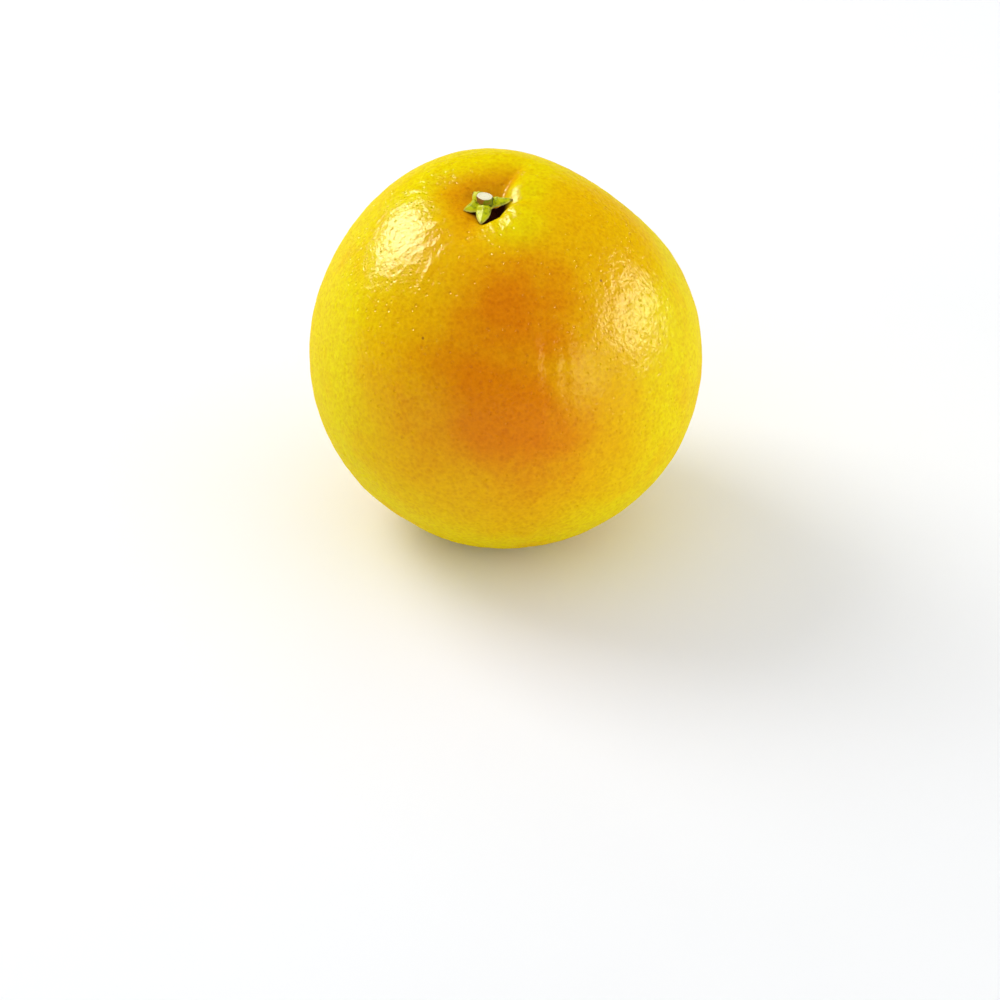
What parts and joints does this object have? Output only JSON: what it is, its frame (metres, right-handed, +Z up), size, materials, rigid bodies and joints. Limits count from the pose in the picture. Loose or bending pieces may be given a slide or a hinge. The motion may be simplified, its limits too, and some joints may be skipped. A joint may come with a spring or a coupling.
{
  "type": "pomelo",
  "caption": "Whole ripe pomelo, round with a slightly fuller lower half and a dimpled stem end, with its green calyx and cut stem stub, at rest on a small flat spot.",
  "frame": {"origin": "on the flat spot that the fruit rests on, straight below the centre of the fruit", "axes": "+Z up, away from the surface it rests on; -Y the front, towards which the stem end leans a little; +X to the right seen from the front"},
  "size_m": [0.1547, 0.1549, 0.1528],
  "materials": {
    "rind": "waxy golden-yellow citrus rind, fine oil-gland dimples, soft gloss",
    "calyx_green": "matt yellow-green calyx with brown tips",
    "stalk": "dry green-brown bark with a pale cut face"
  },
  "bodies": {
    "root": {"fruit": "rind", "calyx": "calyx_green", "stem_stub": "stalk"}
  },
  "joints": []
}
